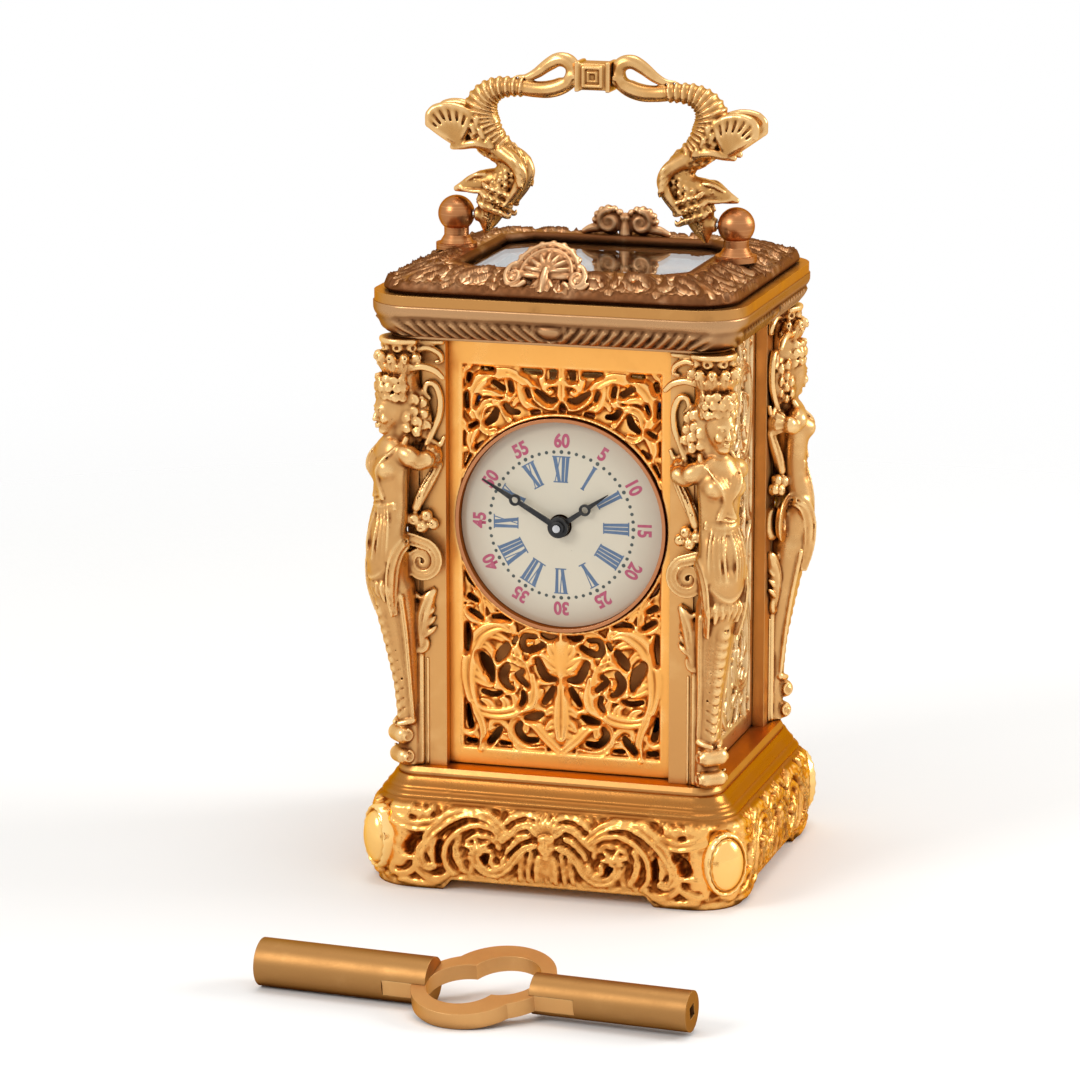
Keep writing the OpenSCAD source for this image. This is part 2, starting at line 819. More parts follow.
module lid_plate() {
    color([0.8, 0.6, 0.25])
        difference() {
            moulded_block(case_w, case_d, corner_r,
                [[cornice_flare - 0.15, cornice_top], [cornice_flare - 0.15, lid_z]]);
            translate([0, 0, cornice_top - cut])
                linear_extrude(lid_plate_t + 2 * cut)
                    cut_rectangle(window_w - 2 * plate_window_lap, window_d - 2 * plate_window_lap, window_cut);
            for (s = [-1, 1])
                upright(s * knob_spacing / 2, 0, cornice_top - cut, lid_z + cut, stud_r + seat_gap);
        }
}

module lid_casting() {
    lid_w = case_w + 2 * cornice_flare - 2.4;
    lid_d = case_d + 2 * cornice_flare - 1.6;
    lid_r = corner_r + 2;
    slope_h = lid_h - lid_edge_h;
    profile = concat(
        [[0, lid_z], [0, lid_z + lid_edge_h]],
        [for (t = [0.1 : 0.1 : 1]) [-lid_r * t, lid_z + lid_edge_h + slope_h * pow(t, 0.6)]]
    );
    color([0.7, 0.52, 0.34])
        difference() {
            moulded_block(lid_w, lid_d, lid_r, [for (p = profile) [p[0] * 0.98, p[1]]]);
            translate([0, 0, lid_z - cut])
                linear_extrude(lid_h + 2 * cut)
                    cut_rectangle(window_w, window_d, window_cut);
            translate([0, 0, lid_z - cut])
                linear_extrude(glass_t + seat_gap + cut)
                    cut_rectangle(glass_w + 2 * seat_gap, glass_d + 2 * seat_gap, window_cut);
            for (s = [-1, 1]) {
                upright(s * knob_spacing / 2, 0, lid_z - cut, rim_z + cut, stud_r + seat_gap);
                upright(s * knob_spacing / 2, 0, knob_seat_z, rim_z + 1, knob_foot_d / 2 + seat_gap);
            }
        }
}
glass_w = window_w + 2 * glass_lap;
glass_d = window_d + 2 * glass_lap;

module lid_glass() {
    bevel = 0.6;
    color([0.85, 0.93, 0.95, 0.4])
        hull() {
            translate([0, 0, lid_z])
                linear_extrude(glass_t - bevel)
                    cut_rectangle(glass_w, glass_d, window_cut);
            translate([0, 0, lid_z])
                linear_extrude(glass_t)
                    cut_rectangle(glass_w - 4 * bevel, glass_d - 4 * bevel, window_cut);
        }
}

// One shell crest on the rim behind or before the window, drawn for the back
module crest() {
    crest_y = window_d / 2 + 1.15;
    translate([0, crest_y, rim_z])
        rotate([90, 0, 0])
            linear_extrude(1.5, center = true)
                intersection() {
                    union() {
                        circle(crest_h);
                        for (s = [-1, 1], k = [1, 2])
                            translate([s * k * crest_w / 6, 0])
                                circle(crest_w / 6);
                    }
                    translate([-crest_w, 0])
                        square([2 * crest_w, crest_h + 1]);
                }
}

module lid_crests() {
    color([0.68, 0.5, 0.33]) {
        crest();
        mirror([0, 1, 0])
            translate([-crest_shift, 0, 0])
                crest();
    }
}
crest_shift = 1.2;

// A turned knob on its stud, drawn on the Z axis with its seat at the bottom
module knob() {
    ball_r = knob_ball_d / 2;
    neck_r = knob_neck_d / 2;
    ball_z = pivot_z - knob_seat_z;
    color([0.72, 0.48, 0.28])
        difference() {
            union() {
                translate([0, 0, ball_z])
                    sphere(ball_r);
                cylinder(h = ball_z, r = neck_r);
                cylinder(h = 0.7, r = knob_foot_d / 2);
                translate([0, 0, 0.7])
                    cylinder(h = 0.9, r1 = knob_foot_d / 2 - 0.4, r2 = neck_r);
                translate([0, 0, -stud_len])
                    cylinder(h = stud_len + 0.5, r = stud_r);
            }
            // Pivot hole for the handle, open on the side towards the middle
            translate([0, 0, ball_z])
                rotate([0, -90, 0])
                    translate([0, 0, -pin_reach])
                        cylinder(h = ball_r + pin_reach + cut, r = pivot_pin_d / 2 + run_fit);
        }
}
pin_reach = 0.8;

module knob_left() {
    translate([-knob_spacing / 2, 0, knob_seat_z])
        mirror([1, 0, 0])
            knob();
}

module knob_right() {
    translate([knob_spacing / 2, 0, knob_seat_z])
        knob();
}

module front_panel() {
    color([0.93, 0.68, 0.22])
        difference() {
            slab(0, sill_top + post_h / 2, -front_face, -front_face + panel_t) {
                pierced_panel(2 * (open_x + groove_depth), panel_len, front_border);
                translate([0, dial_z - sill_top - post_h / 2])
                    circle(rim_r + 1);
            }
            rod(0, dial_z, -front_face - cut, -front_face + panel_t + cut, rim_r + seat_gap);
        }
}

// Metal rim of the dial: a tube in the panel's round hole, with a flange behind that holds the dial
module dial_bezel() {
    color([0.75, 0.42, 0.25])
        difference() {
            union() {
                rod(0, dial_z, -front_face - rim_proud, dial_back, rim_r);
                rod(0, dial_z, -front_face + panel_t, dial_back + 0.5, rim_r + dial_margin - seat_gap);
            }
            rod(0, dial_z, -front_face - rim_proud - cut, dial_back, rim_r - rim_w);
            rod(0, dial_z, -front_face, dial_back + 1, rim_r - rim_w - 0.8);
        }
}

module dial() {
    dome_r = (dial_r * dial_r + dial_dome * dial_dome) / (2 * dial_dome);
    edge_angle = asin(dial_r / dome_r);
    steps = 8;
    foot_r = 0.4;
    color([0.95, 0.94, 0.88])
        difference() {
            union() {
                translate([0, dial_back, dial_z])
                    rotate([90, 0, 0])
                        rotate_extrude()
                            polygon(concat([[0, 0], [dial_r, 0]], [
                                for (i = [steps : -1 : 0])
                                    let (a = edge_angle * i / steps)
                                    [dome_r * sin(a), dial_t + dial_dome - dome_r * (1 - cos(a))]
                            ]));
                for (s = [-1, 1])
                    rod(s * dial_foot_x, dial_z, dial_back - 0.3, plate_inside, foot_r);
            }
            rod(0, dial_z, dial_back - 3, dial_back + cut, hour_hole_r);
        }
}
dial_foot_x = dial_r - 2.5;

// A side panel, drawn for the right side
module side_panel() {
    color([0.85, 0.76, 0.55])
        translate([side_face - panel_t, 0, sill_top + post_h / 2])
            rotate([90, 0, 90])
                linear_extrude(panel_t)
                    pierced_panel(2 * (open_y + groove_depth), panel_len, side_border);
}

module side_panel_left() {
    mirror([1, 0, 0])
        side_panel();
}

module side_panel_right() {
    side_panel();
}

// Movement frame

pillar_x = plate_w / 2 - 1.9;
pillar_low_z = barrel_at[1] - 13.2;
pillar_high_z = plate_top - 2.2;
plate_screw_r = 0.5;
plate_screw_head = 0.9;
plate_low_z = base_h;
seat_w = 8;
seat_h = 3;
seat_screw_x = 5;
seat_screw_r = 0.7;
seat_screw_y = [plate_inside + 3, plate_rear_in - 3];

module movement_plate(y_front, y_rear) {
    height = plate_top - plate_low_z;
    difference() {
        slab(0, plate_low_z + height / 2, y_front, y_rear)
            rounded_rectangle(plate_w, height, 1);
        for (s = [-1, 1], z = [pillar_low_z, pillar_high_z])
            rod(s * pillar_x, z, y_front - cut, y_rear + cut, plate_screw_r + seat_gap);
        // Screws of the platform go down into the top edge
        for (s = [-1, 1])
            upright(s * platform_screw_x, (y_front + y_rear) / 2, plate_top - 2, plate_top + cut,
                platform_screw_r + seat_gap);
        rod(contrate_at[0], contrate_at[1], y_front - cut, y_rear + cut, pivot_r + run_fit);
        rod(third_at[0], third_at[1], y_front - cut, y_rear + cut, pivot_r + run_fit);
        rod(barrel_at[0], barrel_at[1], y_front - cut, y_rear + cut, barrel_pivot_r + run_fit);
        rod(centre_at[0], centre_at[1], y_front - cut, y_rear + cut, centre_arbor_d / 2 + run_fit);
    }
}
platform_screw_x = 6.5;
platform_screw_r = 0.35;

module movement_front_plate() {
    color([0.83, 0.68, 0.35]) {
        difference() {
            movement_plate(plate_front, plate_inside);
            for (s = [-1, 1])
                rod(s * dial_foot_x, dial_z, plate_front - cut, plate_inside + cut, 0.4 + seat_gap);
        }
        // Stud of the minute wheel
        rod(minute_wheel_at[0], minute_wheel_at[1], dial_back + 0.3, plate_front, arbor_r);
    }
}

module movement_back_plate() {
    color([0.83, 0.68, 0.35]) {
        movement_plate(plate_rear_in, plate_rear);
        // Stud of the click
        rod(click_pivot[0], click_pivot[1], plate_rear, ratchet_y + ratchet_t + 0.3, click_stud_r);
    }
}

module plate_pillars() {
    color([0.8, 0.65, 0.32])
        for (s = [-1, 1], z = [pillar_low_z, pillar_high_z])
            difference() {
                rod(s * pillar_x, z, plate_inside, plate_rear_in, pillar_d / 2);
                rod(s * pillar_x, z, plate_inside - cut, plate_inside + 2, plate_screw_r + seat_gap);
                rod(s * pillar_x, z, plate_rear_in - 2, plate_rear_in + cut, plate_screw_r + seat_gap);
            }
}

module movement_seat() {
    color([0.76, 0.6, 0.3])
        for (s = [-1, 1])
            difference() {
                translate([s * seat_screw_x - 1.6, plate_inside, base_h])
                    cube([3.2, plate_gap, seat_h]);
                for (y = seat_screw_y)
                    upright(s * seat_screw_x, y, base_h - cut, base_h + 2.4, seat_screw_r + seat_gap);
            }
}

module movement_screws() {
    color([0.3, 0.36, 0.55]) {
        for (s = [-1, 1], z = [pillar_low_z, pillar_high_z]) {
            rod(s * pillar_x, z, plate_front, plate_inside + 1.8, plate_screw_r);
            rod(s * pillar_x, z, plate_front - 0.7, plate_front, plate_screw_head);
            rod(s * pillar_x, z, plate_rear_in - 1.8, plate_rear, plate_screw_r);
            rod(s * pillar_x, z, plate_rear, plate_rear + 0.7, plate_screw_head);
        }
        for (s = [-1, 1], y = seat_screw_y) {
            upright(s * seat_screw_x, y, base_h - floor_t, base_h + 2.2, seat_screw_r);
            upright(s * seat_screw_x, y, base_h - floor_t - 0.8, base_h - floor_t, 1.2);
        }
        for (s = [-1, 1], y = [plate_front + plate_t / 2, plate_rear_in + plate_t / 2]) {
            upright(s * platform_screw_x, y, plate_top - 1.8, platform_z, platform_screw_r);
            upright(s * platform_screw_x, y, platform_z, platform_z + 0.4, 0.7);
        }
        upright(0, balance_foot_y, platform_z - 0.8, cock_z + cock_t, platform_screw_r);
        upright(0, balance_foot_y, cock_z + cock_t, cock_z + cock_t + 0.4, 0.8);
    }
}
balance_foot_y = plate_front + 2.1;

// Platform

module platform_plate() {
    color([0.85, 0.74, 0.5])
        difference() {
            union() {
                translate([-platform_w / 2, plate_front, plate_top])
                    cube([platform_w, plate_rear - plate_front, platform_t]);
                // Bracket under the platform that holds the lower pivot of the escape wheel
                translate([-0.8, escape_y + 1.6, pinion_low_z - 0.7])
                    cube([1.6, 0.9, plate_top - pinion_low_z + 0.8]);
                translate([-0.8, escape_y - 0.35, pinion_low_z - 0.7])
                    cube([1.6, 2.2, 0.55]);
            }
            upright(0, escape_y, pinion_low_z - 1, pinion_low_z, pivot_r + run_fit);
            upright(0, escape_y, plate_top - cut, platform_z + cut, escape_leaf_r + 0.2);
            upright(0, balance_y, plate_top - cut, platform_z + cut, pivot_r + run_fit);
            upright(0, balance_foot_y, plate_top, platform_z + cut, platform_screw_r + seat_gap);
            for (s = [-1, 1], y = [plate_front + plate_t / 2, plate_rear_in + plate_t / 2])
                upright(s * platform_screw_x, y, plate_top - cut, platform_z + cut,
                    platform_screw_r + seat_gap);
        }
}

module escape_cock() {
    foot_x = 4.6;
    color([0.82, 0.72, 0.48])
        difference() {
            union() {
                translate([-0.8, escape_y - 0.8, escape_cock_z])
                    cube([foot_x + 1.6, 1.6, escape_cock_t]);
                translate([foot_x - 0.8, escape_y - 0.8, platform_z])
                    cube([1.6, 1.6, escape_cock_z - platform_z + escape_cock_t]);
            }
            upright(0, escape_y, escape_cock_z - cut, escape_cock_z + escape_cock_t + cut, pivot_r + run_fit);
        }
}

module balance_cock() {
    color([0.85, 0.74, 0.5])
        difference() {
            union() {
                translate([-1.3, balance_foot_y - 1.1, platform_z])
                    cube([2.6, 2, cock_z - platform_z]);
                translate([-1.3, balance_foot_y - 1.1, cock_z])
                    cube([2.6, balance_y - balance_foot_y + 1.1, cock_t]);
                upright(0, balance_y, cock_z, cock_z + cock_t, 1.5);
                // Stud block that holds the outer end of the hairspring
                translate([hairspring_outer - 0.1, balance_y - 0.4, hairspring_z])
                    cube([0.8, 0.8, cock_z - hairspring_z + cock_t]);
                translate([0, balance_y - 0.4, cock_z])
                    cube([hairspring_outer, 0.8, cock_t]);
            }
            upright(0, balance_y, cock_z - cut, cock_z + cock_t + cut, pivot_r + run_fit);
            upright(0, balance_foot_y, platform_z - cut, cock_z + cock_t + cut, platform_screw_r + seat_gap);
        }
}
hairspring_inner = cylinder_r + 0.2;
hairspring_outer = 2.5;

// A flat spiral strip between two radii
module spiral(r_in, r_out, turns, t) {
    steps = turns * 20;
    radius = function(i) r_in + (r_out - r_in) * i / steps;
    polygon(concat(
        [for (i = [0 : steps]) (radius(i) - t / 2) * [cos(18 * i), sin(18 * i)]],
        [for (i = [steps : -1 : 0]) (radius(i) + t / 2) * [cos(18 * i), sin(18 * i)]]
    ));
}

module hairspring() {
    color([0.25, 0.3, 0.5])
        translate([0, balance_y, hairspring_z])
            linear_extrude(hairspring_h)
                spiral(hairspring_inner, hairspring_outer - 0.14, hairspring_turns, hairspring_t);
}

// Back door

module door_frame() {
    opening_w = door_w - 2 * door_edge;
    opening_h = door_h - 2 * door_edge;
    color([0.8, 0.62, 0.3])
        difference() {
            union() {
                slab(panel_t / 4, sill_top + post_h / 2, door_y - panel_t / 2, door_y + panel_t / 2)
                    square([door_w - panel_t / 2, door_h], center = true);
                // The hinge edge is round, so that it clears the post as the door swings
                upright(door_pin_x, door_y, sill_top + door_gap, post_top - door_gap, panel_t / 2);
            }
            translate([-opening_w / 2, door_y - panel_t, sill_top + post_h / 2 - opening_h / 2])
                cube([opening_w, 2 * panel_t, opening_h]);
            for (z = [sill_top + door_gap - cut, post_top - door_gap - 1.5 + cut])
                upright(door_pin_x, door_y, z, z + 1.5, door_pin_r + seat_gap);
            rod(door_pull_x, door_pull_z, door_y - 1, door_y + 1, 0.45 + seat_gap);
        }
}
door_pull_x = open_x - door_gap - 1.2;
door_pull_z = sill_top + post_h / 2;

module door_panel() {
    color([0.85, 0.72, 0.45])
        slab(0, sill_top + post_h / 2, door_y - 0.35, door_y + 0.35)
            pierced_panel(door_w - 2 * door_edge - 2 * seat_gap, door_h - 2 * door_edge - 2 * seat_gap,
                [0.9, 1.2]);
}

module door_pins() {
    color([0.7, 0.7, 0.72]) {
        upright(door_pin_x, door_y, sill_top - door_pin_len + 0.1, sill_top + door_gap + 1.4, door_pin_r);
        upright(door_pin_x, door_y, post_top - door_gap - 1.4, post_top + door_pin_len - 0.1, door_pin_r);
    }
}

module door_pull() {
    color([0.8, 0.6, 0.28]) {
        rod(door_pull_x, door_pull_z, door_y - panel_t / 2, door_y + panel_t / 2 + 0.5, 0.45);
        rod(door_pull_x, door_pull_z, door_y + panel_t / 2, door_y + panel_t / 2 + 0.25, 0.8);
        translate([door_pull_x, door_y + panel_t / 2 + 0.9, door_pull_z])
            sphere(0.9);
    }
}

// Handle

function arm_points(rows) = [for (p = rows) [p[0], 0, pivot_z + p[1] * handle_rise, p[2] * arm_d]];

// A winged serpent that rises from the pivot and turns in along the bar, drawn for the right side
module handle_arm() {
    head_x = knob_spacing / 2 - knob_ball_d / 2;
    color([0.72, 0.56, 0.28])
        difference() {
            union() {
                chain(arm_points(ARM_NECK));
                chain(arm_points(ARM_CHEST));
                chain(arm_points(ARM_BAR));
                chain(arm_points(ARM_CREST));
                hull()
                    for (p = arm_points(ARM_WING))
                        translate([p[0], p[1], p[2]])
                            sphere(p[3], $fn = facet_fn);
                translate([loop_x, 0, pivot_z + 0.93 * handle_rise])
                    rotate([90, 0, 0])
                        rotate_extrude()
                            translate([loop_r, 0])
                                circle(loop_wire, $fn = facet_fn + 4);
                chain([
                    [loop_x - 1.2, 0, pivot_z + 0.93 * handle_rise, loop_wire],
                    [collar_w / 2, 0, pivot_z + 0.9 * handle_rise, loop_wire]
                ]);
            }
            // Square faces against the collar and beside the knob
            translate([-5, -5, 0])
                cube([5 + collar_w / 2, 10, 200]);
            translate([knob_spacing / 2, 0, pivot_z])
                sphere(knob_ball_d / 2 + 0.25, $fn = 32);
            translate([knob_spacing / 2, 0, 0])
                cylinder(h = pivot_z, r = knob_ball_d / 2 + 0.25, $fn = 32);
            translate([head_x - 2.5, 0, pivot_z])
                rotate([0, 90, 0])
                    cylinder(h = 3, r = pivot_pin_d / 2 + 0.06, $fn = 32);
        }
}

module handle_arm_left() {
    mirror([1, 0, 0])
        handle_arm();
}

module handle_arm_right() {
    handle_arm();
}

module handle_collar() {
    color([0.75, 0.58, 0.3])
        difference() {
            translate([-collar_w / 2, -collar_d / 2, pivot_z + handle_rise - collar_h])
                cube([collar_w, collar_d, collar_h]);
            for (s = [-1, 1])
                translate([-1.2, s * collar_d / 2 - 0.3, pivot_z + handle_rise - collar_h / 2 - 1.1])
                    cube([2.4, 0.6, 2.2]);
        }
}

module handle_pins() {
    pin_low = knob_spacing / 2 - knob_ball_d / 2 - 2.2;
    pin_high = knob_spacing / 2 + pin_reach - 0.1;
    color([0.6, 0.6, 0.6])
        for (s = [0, 1])
            mirror([s, 0, 0])
                translate([pin_low, 0, pivot_z])
                    rotate([0, 90, 0])
                        cylinder(h = pin_high - pin_low, r = pivot_pin_d / 2);
}

// Hands and motion work

// A hand that points up: hub, ring and tapering point
module hand_outline(length, ring_at, hole) {
    difference() {
        union() {
            circle(hand_hub_r);
            polygon([[-0.34, 0], [0.34, 0], [0.24, ring_at], [-0.24, ring_at]]);
            translate([0, ring_at])
                circle(hand_ring_r);
            polygon([[-0.3, ring_at + 0.4], [0.3, ring_at + 0.4], [0.06, length], [-0.06, length]]);
        }
        translate([0, ring_at])
            circle(hand_hole_r);
        circle(hole);
    }
}

module minute_hand() {
    color([0.08, 0.08, 0.09])
        slab(0, dial_z, minute_hand_y - hand_t, minute_hand_y)
            rotate(-minute_angle)
                hand_outline(minute_len, minute_ring_at, centre_arbor_d / 2 + seat_gap);
}

module hand_pin() {
    color([0.75, 0.75, 0.76])
        difference() {
            rod(0, dial_z, minute_hand_y - hand_t - 0.35, minute_hand_y - hand_t, 0.8);
            rod(0, dial_z, minute_hand_y - hand_t - 0.4, minute_hand_y - hand_t + cut,
                centre_arbor_d / 2 + seat_gap);
        }
}

module hour_hand() {
    color([0.08, 0.08, 0.09])
        slab(0, dial_z, hour_hand_y - hand_t, hour_hand_y)
            rotate(-hour_angle)
                hand_outline(hour_len, hour_ring_at, hour_pipe_r - 0.1 + seat_gap);
}

module centre_arbor() {
    square_y = plate_rear + 0.6;
    color([0.62, 0.63, 0.65]) {
        rod(0, dial_z, minute_hand_y - hand_t - 0.6, square_y, centre_arbor_d / 2);
        slab(0, dial_z, square_y - 0.2, square_end_y)
            square(setting_square, center = true);
    }
}

module cannon_pinion() {
    color([0.66, 0.66, 0.68])
        difference() {
            union() {
                slab(0, dial_z, cannon_y, cannon_y + 0.7)
                    gear(cannon_n, hour_m, motion_angle);
                rod(0, dial_z, minute_hand_y, cannon_y + 0.2, cannon_r);
            }
            rod(0, dial_z, minute_hand_y - cut, cannon_y + 1, centre_arbor_d / 2 + seat_gap);
        }
}
cannon_y = plate_front - 0.8;
hour_wheel_y = cannon_y - 0.9;

module hour_wheel() {
    step = 360 / hour_wheel_n / 2;
    color([0.85, 0.7, 0.35])
        difference() {
            union() {
                slab(0, dial_z, hour_wheel_y, hour_wheel_y + 0.4)
                    gear(hour_wheel_n, minute_m, motion_angle + step);
                rod(0, dial_z, hour_hand_y, hour_wheel_y + 0.1, hour_pipe_r);
                rod(0, dial_z, hour_hand_y - hand_t, hour_hand_y + 0.1, hour_pipe_r - 0.1);
            }
            rod(0, dial_z, hour_hand_y - hand_t - cut, hour_wheel_y + 1, cannon_r + run_fit);
        }
}

module minute_wheel() {
    step = 360 / minute_wheel_n / 2;
    color([0.85, 0.7, 0.35])
        difference() {
            union() {
                slab(minute_wheel_at[0], minute_wheel_at[1], cannon_y + 0.1, cannon_y + 0.5)
                    gear(minute_wheel_n, hour_m, motion_angle + 180 + step);
                slab(minute_wheel_at[0], minute_wheel_at[1], hour_wheel_y - 0.1, cannon_y + 0.2)
                    gear(minute_leaves, minute_m, motion_angle + 180);
            }
            rod(minute_wheel_at[0], minute_wheel_at[1], dial_back, plate_front, arbor_r + run_fit);
        }
}

// Going train

module centre_wheel() {
    step = 360 / centre_leaves / 2;
    color([0.85, 0.7, 0.35])
        difference() {
            union() {
                slab(0, dial_z, great_y - 0.3, great_y + leaf_len - 0.3)
                    gear(centre_leaves, great_m, barrel_to_centre + 180 + step);
                rod(0, dial_z, great_y - 0.3, centre_y + wheel_t + 0.6, centre_arbor_d / 2 + 0.5);
                slab(0, dial_z, centre_y, centre_y + wheel_t)
                    crossed_gear(centre_n, centre_m, centre_to_third, 1.6);
            }
            rod(0, dial_z, plate_inside, plate_rear_in, centre_arbor_d / 2 + run_fit);
        }
}

module third_wheel() {
    leaf_step = 360 / third_leaves / 2;
    color([0.85, 0.7, 0.35]) {
        slab(third_at[0], third_at[1], third_leaf_y, third_leaf_y + leaf_len)
            gear(third_leaves, centre_m, centre_to_third + 180 + leaf_step);
        slab(third_at[0], third_at[1], third_y, third_y + wheel_t)
            crossed_gear(third_n, centre_m, third_to_contrate, 1.3);
        rod(third_at[0], third_at[1], plate_inside + 0.2, plate_rear_in - 0.2, arbor_r);
        rod(third_at[0], third_at[1], plate_front + 0.1, plate_rear - 0.1, pivot_r);
    }
}

module contrate_wheel() {
    leaf_step = 360 / fourth_leaves / 2;
    color([0.85, 0.7, 0.35]) {
        slab(contrate_at[0], contrate_at[1], contrate_leaf_y, contrate_leaf_y + leaf_len)
            gear(fourth_leaves, centre_m, third_to_contrate + 180 + leaf_step);
        slab(contrate_at[0], contrate_at[1], contrate_y, contrate_y + contrate_t) {
            difference() {
                circle(contrate_r);
                circle(contrate_r - crown_depth - 0.3);
            }
            circle(1.2);
            for (a = [45 : 90 : 315])
                rotate(a)
                    translate([0, -0.3])
                        square([contrate_r - crown_depth, 0.6]);
        }
        slab(contrate_at[0], contrate_at[1], contrate_y + contrate_t / 2, crown_tip_y)
            for (i = [0 : contrate_n - 1])
                rotate(90 + i * 360 / contrate_n)
                    translate([contrate_r - crown_depth, -crown_t / 2])
                        square([crown_depth - 0.02, crown_t]);
        rod(contrate_at[0], contrate_at[1], plate_inside + 0.2, plate_rear_in - 0.2, arbor_r);
        rod(contrate_at[0], contrate_at[1], plate_front + 0.1, plate_rear - 0.1, pivot_r);
    }
}

// One tooth of the escape wheel: a hooked wedge
module escape_outline() {
    difference() {
        union() {
            circle(escape_wheel_r - 0.75);
            for (i = [0 : escape_n - 1])
                rotate(i * 360 / escape_n)
                    polygon([
                        [escape_wheel_r - 0.9, -0.16], [escape_wheel_r - 0.06, -0.1],
                        [escape_wheel_r, 0.12], [escape_wheel_r - 0.16, 0.12], [escape_wheel_r - 0.9, 0.1]
                    ]);
        }
        for (a = [0 : 120 : 240])
            rotate(a + 30)
                translate([1.35, 0])
                    circle(0.62);
    }
}

module escape_wheel() {
    leaf_half_root = 0.1;
    leaf_half_tip = 0.05;
    color([0.72, 0.73, 0.75])
        translate([0, escape_y, 0]) {
            translate([0, 0, escape_z])
                linear_extrude(escape_t)
                    escape_outline();
            translate([0, 0, pinion_low_z + 0.1])
                linear_extrude(1.7) {
                    circle(0.26);
                    for (i = [0 : escape_leaves - 1])
                        rotate(-90 + (i + 0.5) * 360 / escape_leaves)
                            polygon([
                                [0, -leaf_half_root], [escape_leaf_r, -leaf_half_tip],
                                [escape_leaf_r, leaf_half_tip], [0, leaf_half_root]
                            ]);
                }
            cylinder_from(pinion_low_z - 0.5, escape_cock_z + escape_cock_t - 0.1, pivot_r);
            cylinder_from(pinion_low_z + 0.2, escape_cock_z - 0.1, 0.26);
        }
}

// An upright rod on the local axis
module cylinder_from(z_low, z_high, r) {
    translate([0, 0, z_low])
        cylinder(h = z_high - z_low, r = r);
}

module balance_wheel() {
    rim_t = 0.5;
    color([0.86, 0.7, 0.3])
        translate([0, balance_y, 0]) {
            translate([0, 0, balance_z])
                linear_extrude(balance_t) {
                    difference() {
                        circle(balance_d / 2);
                        circle(balance_d / 2 - rim_t);
                    }
                    circle(0.9);
                    for (a = [0 : 120 : 240])
                        rotate(a)
                            translate([0, -0.25])
                                square([balance_d / 2 - rim_t / 2, 0.5]);
                }
            cylinder_from(platform_z + 0.15, cock_z - 0.15, cylinder_r);
            cylinder_from(plate_top + 0.2, cock_z + cock_t - 0.1, pivot_r);
        }
}

// Mainspring, winding and click

module mainspring_barrel() {
    drum_end = drum_y + drum_len;
    color([0.87, 0.72, 0.38]) {
        difference() {
            union() {
                slab(barrel_at[0], barrel_at[1], great_y, drum_y)
                    gear(great_n, great_m, barrel_to_centre);
                rod(barrel_at[0], barrel_at[1], drum_y - 0.1, drum_end, barrel_d / 2);
            }
            rod(barrel_at[0], barrel_at[1], drum_y, drum_end - drum_wall, barrel_d / 2 - drum_wall);
            rod(barrel_at[0], barrel_at[1], great_y - cut, drum_end + cut, barrel_arbor_r + run_fit);
        }
        slab(barrel_at[0], barrel_at[1], drum_y + 0.5, drum_end - drum_wall - 0.5)
            difference() {
                spiral(3, barrel_d / 2 - drum_wall + 0.05, spring_turns, spring_t);
                circle(barrel_arbor_r + 0.6);
            }
    }
}

module winding_arbor() {
    color([0.62, 0.63, 0.65]) {
        rod(barrel_at[0], barrel_at[1], plate_inside + 0.2, plate_rear_in - 0.2, barrel_arbor_r);
        rod(barrel_at[0], barrel_at[1], plate_front + 0.1, ratchet_y + ratchet_t, barrel_pivot_r);
        slab(barrel_at[0], barrel_at[1], ratchet_y + ratchet_t, square_end_y)
            intersection() {
                square(winding_square, center = true);
                circle(winding_square * 0.66);
            }
    }
}

module ratchet_wheel() {
    color([0.7, 0.71, 0.74])
        slab(barrel_at[0], barrel_at[1], ratchet_y, ratchet_y + ratchet_t)
            difference() {
                polygon([
                    for (i = [0 : ratchet_n - 1])
                        for (k = [0, 1])
                            let (angle = (i + (k == 0 ? 0 : 0.12)) * 360 / ratchet_n,
                                r = k == 0 ? ratchet_r - 0.6 : ratchet_r)
                            [r * cos(angle), r * sin(angle)]
                ]);
                circle(barrel_pivot_r + seat_gap);
            }
}

// The click is a short pawl on its stud; its tip rides over the ratchet's teeth
module click() {
    reach = norm(click_pivot - barrel_at) - ratchet_r - click_clear;
    toward = atan2(barrel_at[1] - click_pivot[1], barrel_at[0] - click_pivot[0]);
    color([0.3, 0.36, 0.55])
        slab(click_pivot[0], click_pivot[1], ratchet_y, ratchet_y + ratchet_t)
            difference() {
                union() {
                    circle(click_r);
                    rotate(toward)
                        polygon([[0, -click_r], [reach, -0.15], [reach, 0.15], [0, click_r]]);
                    rotate(toward + 200)
                        translate([0, -0.35])
                            square([2.2, 0.7]);
                }
                circle(click_stud_r + run_fit);
            }
}

// Key

// Children placed on the key's axis: +X runs from the winding pipe to the setting pipe
module on_key() {
    translate([key_mid_x, -key_distance, key_axis_z])
        rotate(key_angle)
            rotate([key_tilt, 0, 0])
                translate([-key_len / 2, 0, 0])
                    children();
}

// Two overlapping rounds, one nearer and towards the winding pipe, the other its opposite
module bow_rounds(r, along, across) {
    for (s = [-1, 1])
        translate([winding_pipe_len + bow_len / 2 + s * along, s * across])
            circle(r);
}

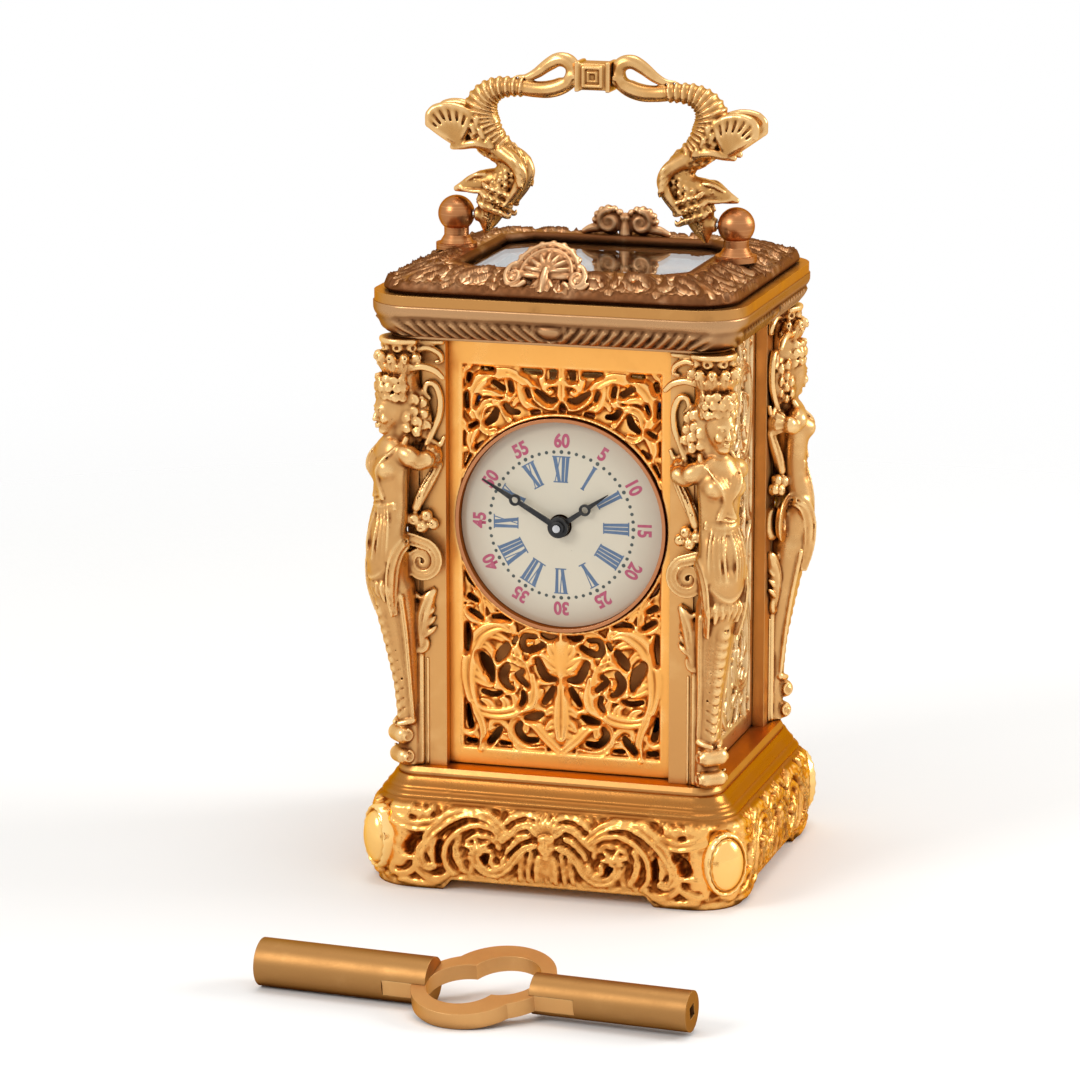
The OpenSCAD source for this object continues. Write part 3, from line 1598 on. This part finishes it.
module key_bow() {
    color([0.7, 0.5, 0.22])
        on_key()
            translate([0, 0, -bow_t / 2])
                linear_extrude(bow_t)
                    difference() {
                        union() {
                            bow_rounds(bow_d / 2, bow_shift, bow_shift);
                            key_tongue(winding_pipe_len - tongue_len, winding_pipe_d);
                            key_tongue(winding_pipe_len + bow_len - 1, setting_pipe_d);
                        }
                        bow_rounds(bow_d / 2 - bow_rim, bow_shift + 0.6, bow_shift);
                    }
}

// Tongue of the bow that fills a pipe's slot from side to side
module key_tongue(x, pipe_d) {
    side = sqrt(pipe_d * pipe_d / 4 - bow_t * bow_t / 4);
    translate([x, -side])
        square([tongue_len + 1, 2 * side]);
}

// A pipe along +X from its open end at 0, with a square socket there and a slot at the far end
module key_pipe(length, d, square_w) {
    socket = 5;
    difference() {
        rotate([0, 90, 0])
            cylinder(h = length, r = d / 2);
        translate([-cut, -square_w / 2 - 0.05, -square_w / 2 - 0.05])
            cube([socket, square_w + 0.1, square_w + 0.1]);
        translate([length - tongue_len - seat_gap, -d, -bow_t / 2 - seat_gap])
            cube([tongue_len + 1, 2 * d, bow_t + 2 * seat_gap]);
    }
}

module key_winding_pipe() {
    color([0.66, 0.48, 0.24])
        on_key()
            key_pipe(winding_pipe_len, winding_pipe_d, winding_square);
}

module key_setting_pipe() {
    color([0.66, 0.48, 0.24])
        on_key()
            translate([key_len, 0, 0])
                mirror([1, 0, 0])
                    key_pipe(setting_pipe_len, setting_pipe_d, setting_square);
}

base_casting();
floor_plate();
sill_frame();
corner_post_front_left();
corner_post_front_right();
corner_post_back_left();
corner_post_back_right();
caryatid_front_left();
caryatid_front_right();
caryatid_back_left();
caryatid_back_right();
case_screws();
cornice();
lid_plate();
lid_casting();
lid_glass();
lid_crests();
knob_left();
knob_right();
front_panel();
dial_bezel();
dial();
side_panel_left();
side_panel_right();
movement_front_plate();
movement_back_plate();
plate_pillars();
movement_seat();
movement_screws();
platform_plate();
escape_cock();
balance_cock();
hairspring();
door_frame();
door_panel();
door_pins();
door_pull();
handle_arm_left();
handle_arm_right();
handle_collar();
handle_pins();
minute_hand();
hand_pin();
centre_arbor();
cannon_pinion();
hour_hand();
hour_wheel();
minute_wheel();
centre_wheel();
third_wheel();
contrate_wheel();
escape_wheel();
balance_wheel();
mainspring_barrel();
winding_arbor();
ratchet_wheel();
click();
key_bow();
key_winding_pipe();
key_setting_pipe();
